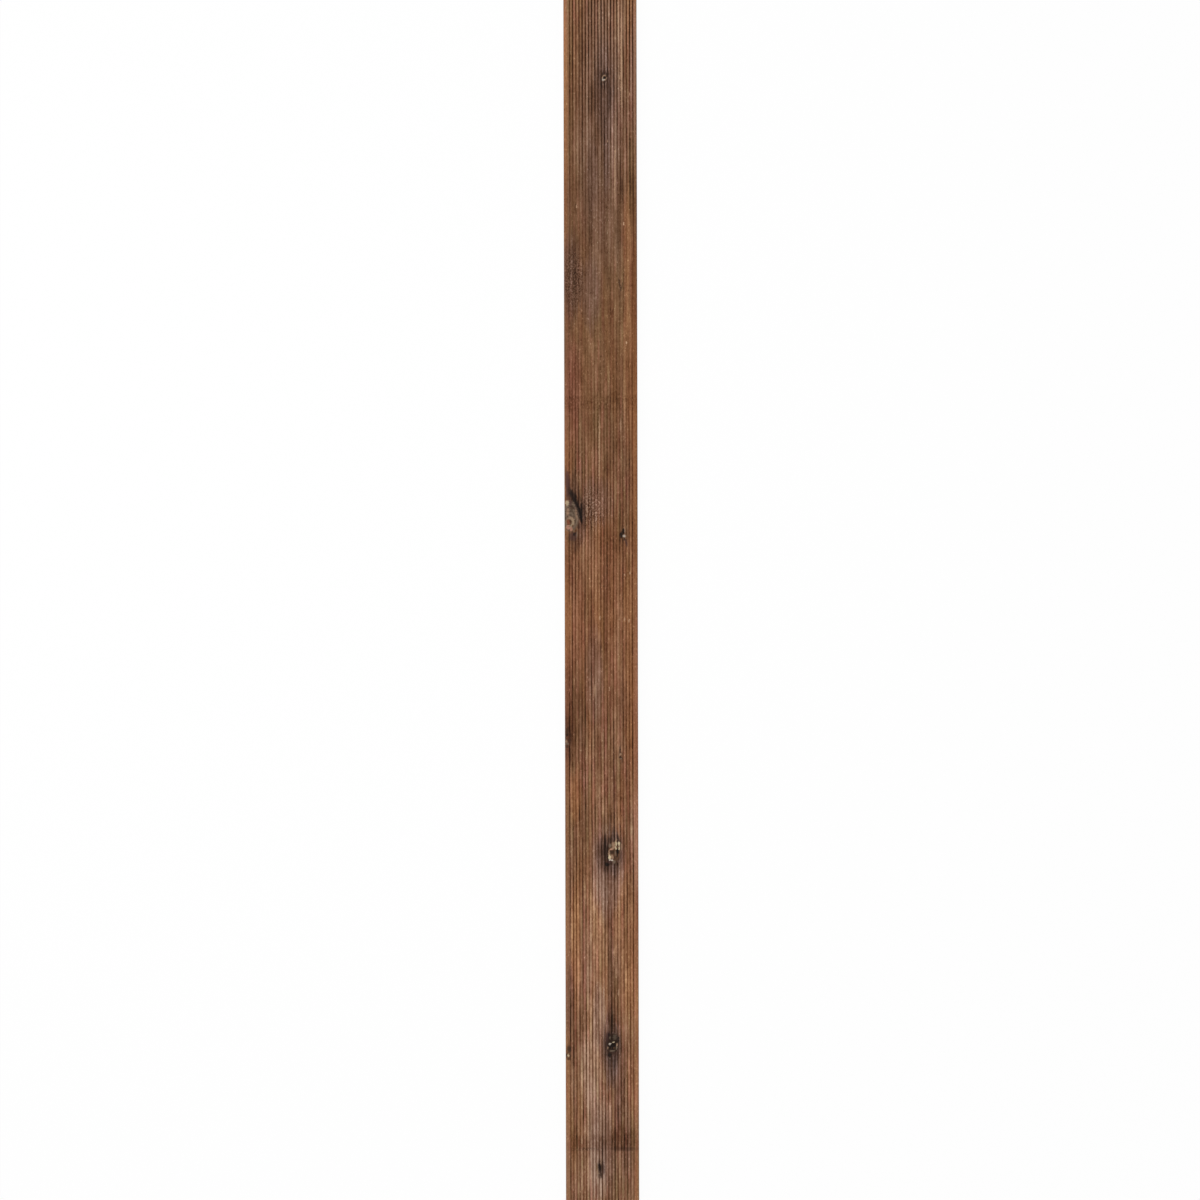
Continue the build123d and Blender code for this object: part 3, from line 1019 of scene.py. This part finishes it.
def stained_wood(wood, sizes, colours):
    """The board's browns: fibres, ribs, grooves darkened by stain and by painted shade, margins, stains and
    the marks of drying sticks.
    """
    pitch = sizes.groove_pitch / MM
    top = sizes.thickness / MM
    depth = sizes.groove_depth / MM
    outer_groove = (sizes.board_width / 2 - sizes.smooth_margin) / MM
    cutter = wood.across - along_steps(wood.along, GROOVE_DRIFT)
    off_margin = abs(cutter).step(outer_groove + 0.5, outer_groove + 1.5, 1.0, 0.0)
    walked = wood.up.step(top - 3.2, top - 2.2)
    ribbed = off_margin * walked
    groove = wood.up.step(top - 0.1 * depth, top - 0.95 * depth) * ribbed
    lines = (cutter / pitch).vector(cutter // pitch, wood.along, 0.0)
    dips = lines.vector((cutter / pitch + 0.5) // 1.0, wood.along, 0.0)
    own = lines.noise(0.137, 340.0, seed=0.5, detail=5.0, rough=0.85, output="Color").red_part()
    rib_tone = own - 0.5
    dip_tone = dips.noise(0.193, 320.0, seed=8.5, detail=5.0, rough=0.85) - 0.5
    width_tone = wood.place.noise(150.0, 300.0, seed=9.5, detail=4.0, rough=0.6) - 0.5
    grain = wood.grown.noise(14.0, 260.0, seed=3.0, detail=5.0, rough=0.8) - 0.5
    fine = wood.place.noise(0.9, 14.0, seed=1.0) - 0.5
    dash = wood.place.noise(1.6, 5.0, seed=6.5, detail=1.0)
    dash = (dash.step(0.64, 0.74) - dash.step(0.34, 0.24)) * walked
    tone = BASE_TONE + grain * (GRAIN_TONE - groove * GRAIN_IN_GROOVE) + fine * FIBRE_TONE
    tone = tone + wood.speckle * SPECKLE_TONE + dash * DASH_TONE
    tone = tone + along_steps(wood.along, TONE_STEPS) + width_tone * WIDTH_TONE - ring_lines(wood) * RING_TONE
    # The groove floors are darkened, partly by stain that collects there and partly by painted shade of the
    # recess
    groove_stain_and_shade = along_steps(wood.along, GROOVE_STAIN_AND_SHADE) + FLOOR_STAIN_AND_SHADE
    variety = wood.along.step(40.0, -260.0, 1.1, 1.4)
    tone = tone + (rib_tone * ribbed - groove * dip_tone * DIP_TONE) * variety - groove * groove_stain_and_shade
    hue = wood.grown.noise(4.5, 100.0, seed=5.0, detail=3.0, rough=0.6) + own.output("Green") - 0.5
    cast = hue.step(0.5, 0.72, 0.0, 0.8).between((1.0, 1.0, 1.0, 1.0), tint(colours.red, colours))
    cast = hue.step(0.48, 0.28, 0.0, 0.6).between(cast, tint(colours.olive, colours))
    warm = wood.grown.noise(26.0, 300.0, seed=7.0)
    cast = warm.step(0.46, 0.7, 0.0, 0.5).between(cast, tint(colours.orange, colours))
    cast = warm.step(0.45, 0.25, 0.0, 0.4).between(cast, tint(colours.grey, colours))
    margin = abs(wood.across).step(outer_groove + 1.0, outer_groove + 2.5, 0.0, 0.25)
    cast = margin.between(cast, tint(colours.orange, colours))
    for stain in STAINS:
        spread = wood.streaks.spread(*stain[:4])
        tone = tone + spread.step(0.15, 1.2, stain.tone, 0.0)
        if stain.cast:
            lean = spread.step(0.15, 1.2, stain.cast_strength, 0.0)
            cast = lean.between(cast, tint(getattr(colours, stain.cast), colours))
    for daub in SPECKLED:
        tone = tone + daub_mask(wood, daub) * (wood.mottle - 0.5)
    rub = wood.place.noise(2.2, 4.0, seed=3.0, detail=1.0)
    for along, half_length, strength in STICK_MARKS:
        distance = abs(wood.along - along + wood.speckle * STICK_RAGGED)
        band = distance.step(half_length * 0.6, half_length, strength, 0.0)
        tone = tone - band * (rub * 0.8 - 0.30)
    settings = {"data_type": "RGBA", "blend_type": "MULTIPLY"}
    shade = cast.node("ShaderNodeMix", settings, {0: 1.0, 6: tone_colours(tone, colours), 7: cast}, 2)
    return Finish(
        colour=shade,
        roughness=0.66 + fine * 0.3 + groove * 0.12,
        relief=fine + wood.speckle * 0.6,
    )


def add_daub(finish, wood, daub, colours):
    """Lays one daub over the wood; a halo only darkens it, so the ribs still show."""
    blend = "MULTIPLY" if daub.shade == "halo" else "MIX"
    shade = opaque(getattr(colours, daub.shade))
    return finish._replace(colour=daub_mask(wood, daub).between(finish.colour, shade, blend))


def add_knot(finish, wood, knot, colours):
    """Lays one knot over the wood, daub by daub."""
    for daub in knot.daubs:
        placed = daub._replace(across=knot.across + daub.across, along=knot.along + daub.along)
        finish = add_daub(finish, wood, placed, colours)
    return finish


def add_end_grain(finish, wood, colours):
    """Darkens the sawn ends and draws the rings and the saw's marks on them."""
    normal = wood.across.node("ShaderNodeNewGeometry", output="True Normal")
    end = abs(normal.split("Y")).step(0.6, 0.8)
    light = (end * END_STAIN).between(finish.colour, opaque(colours.end_grain))
    rings = end * (ring_lines(wood) * END_RINGS + wood.speckle * 0.5).larger(0.0)
    kerf = (wood.across * 0.9 + wood.up * 2.1 + wood.speckle * 3.0).sine()
    return Finish(
        colour=rings.between(light, opaque(colours.darkest)),
        roughness=finish.roughness + end * END_ROUGHNESS,
        relief=finish.relief * (1 - end) + kerf * end * 0.5,
    )


def wood_material(sizes, colours):
    """Brown-stained softwood as one solid block, so that every face of the board cuts through it."""
    material = bpy.data.materials.new("stained_softwood")
    material.use_nodes = True
    tree = material.node_tree
    shader = tree.nodes["Principled BSDF"]
    wood = survey_wood(tree, sizes)
    finish = stained_wood(wood, sizes, colours)
    for knot in KNOTS:
        finish = add_knot(finish, wood, knot, colours)
    for daub in MARKS:
        finish = add_daub(finish, wood, daub, colours)
    finish = add_end_grain(finish, wood, colours)
    bump = finish.relief.node("ShaderNodeBump", {}, {
        "Strength": RELIEF_STRENGTH, "Distance": RELIEF_DEPTH, "Height": finish.relief,
    })
    tree.links.new(finish.colour.socket, shader.inputs["Base Color"])
    tree.links.new(finish.roughness.socket, shader.inputs["Roughness"])
    tree.links.new(bump.socket, shader.inputs["Normal"])
    shader.inputs["Specular IOR Level"].default_value = 0.1
    return material


# The stage

def white_to_camera(tree, surface, share_white):
    """Mixes a shader with plain white for the camera and mirror rays alone."""
    path = Field(tree.nodes.new("ShaderNodeLightPath").outputs["Is Camera Ray"])
    seen = path.larger(path.output("Is Glossy Ray")).larger(path.output("Is Transmission Ray"))
    white = path.node("ShaderNodeEmission", {}, {"Color": (1.0, 1.0, 1.0, 1.0), "Strength": 1.0})
    return path.node("ShaderNodeMixShader", {}, {0: seen * share_white, 1: surface, 2: white})


def lay_floor(stage):
    """A pale floor that shows white and keeps a faint shadow of the board."""
    mesh = bmesh.new()
    bmesh.ops.create_grid(mesh, x_segments=1, y_segments=1, size=stage.floor_size / 2)
    floor = finish_mesh(mesh, "floor", math.pi)
    material = bpy.data.materials.new("pale_floor")
    material.use_nodes = True
    tree = material.node_tree
    shader = tree.nodes["Principled BSDF"]
    shader.inputs["Base Color"].default_value = opaque(stage.floor_colour)
    shader.inputs["Roughness"].default_value = 0.9
    shader.inputs["Specular IOR Level"].default_value = 0.0
    shown = white_to_camera(tree, Field(shader.outputs["BSDF"]), stage.floor_white)
    tree.links.new(shown.socket, tree.nodes["Material Output"].inputs["Surface"])
    floor.data.materials.append(material)


def light_world(scene, stage):
    """Even light from all round, with a white background."""
    world = bpy.data.worlds.new("studio")
    world.use_nodes = True
    tree = world.node_tree
    background = tree.nodes["Background"]
    background.inputs["Color"].default_value = (1.0, 1.0, 1.0, 1.0)
    background.inputs["Strength"].default_value = stage.world_level
    shown = white_to_camera(tree, Field(background.outputs["Background"]), 1.0)
    tree.links.new(shown.socket, tree.nodes["World Output"].inputs["Surface"])
    scene.world = world


def hang_softbox(scene, stage):
    """One broad lamp above the board, a little to its left."""
    data = bpy.data.lights.new("softbox", "AREA")
    data.energy = stage.lamp_level
    data.size = stage.lamp_size
    lamp = bpy.data.objects.new("softbox", data)
    lamp.location = stage.lamp_place
    lamp.rotation_euler = (-lamp.location).to_track_quat("-Z", "Y").to_euler()
    scene.collection.objects.link(lamp)


def set_camera(scene, stage, sizes):
    """Looks straight down on the board, which runs up the picture and past both its edges."""
    data = bpy.data.cameras.new("camera")
    data.lens = stage.lens
    camera = bpy.data.objects.new("camera", data)
    distance = stage.frame_height * stage.lens / data.sensor_width
    camera.location = (-stage.frame_shift, 0.0, sizes.thickness + distance)
    camera.rotation_euler = (0.0, 0.0, -stage.roll)
    scene.collection.objects.link(camera)
    scene.camera = camera


# Add-on classes

class DECKING_OT_board(bpy.types.Operator):
    """Model the ribbed board, finish its wood and put it in place of the plain solid"""

    bl_idname = "decking.board"
    bl_label = "Ribbed Board"

    def execute(self, context):
        scene = context.scene
        board = model_board(scene.decking_sizes)
        board.data.materials.append(wood_material(scene.decking_sizes, scene.decking_colours))
        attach(board, BODY)
        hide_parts(NODE)
        return {"FINISHED"}


class DECKING_OT_stage(bpy.types.Operator):
    """Lay the pale floor, light it softly and set the camera above the board"""

    bl_idname = "decking.stage"
    bl_label = "Stage"

    def execute(self, context):
        scene = context.scene
        stage = scene.decking_stage
        lay_floor(stage)
        light_world(scene, stage)
        hang_softbox(scene, stage)
        set_camera(scene, stage, scene.decking_sizes)
        scene.view_settings.view_transform = "Standard"
        return {"FINISHED"}


class DECKING_PT_panel(bpy.types.Panel):
    """The board's sizes, colours and stage, and the buttons that build them"""

    bl_label = "Decking Board"
    bl_idname = "DECKING_PT_panel"
    bl_space_type = "VIEW_3D"
    bl_region_type = "UI"
    bl_category = "Decking"

    def draw(self, context):
        scene = context.scene
        for group, operator in (
            (scene.decking_sizes, None),
            (scene.decking_colours, DECKING_OT_board),
            (scene.decking_stage, DECKING_OT_stage),
        ):
            column = self.layout.column()
            for name in group.__annotations__:
                column.prop(group, name)
            if operator:
                column.operator(operator.bl_idname)


GROUPS = {"decking_sizes": BoardSizes, "decking_colours": BoardColours, "decking_stage": StageSettings}
CLASSES = (*GROUPS.values(), DECKING_OT_board, DECKING_OT_stage, DECKING_PT_panel)


def register():
    for cls in CLASSES:
        bpy.utils.register_class(cls)
    for name, group in GROUPS.items():
        setattr(bpy.types.Scene, name, PointerProperty(type=group))


def unregister():
    for name in GROUPS:
        delattr(bpy.types.Scene, name)
    for cls in reversed(CLASSES):
        bpy.utils.unregister_class(cls)


def main():
    """Builds the board and its stage."""
    register()
    bpy.ops.decking.board()
    bpy.ops.decking.stage()


if __name__ == "__main__":
    main()
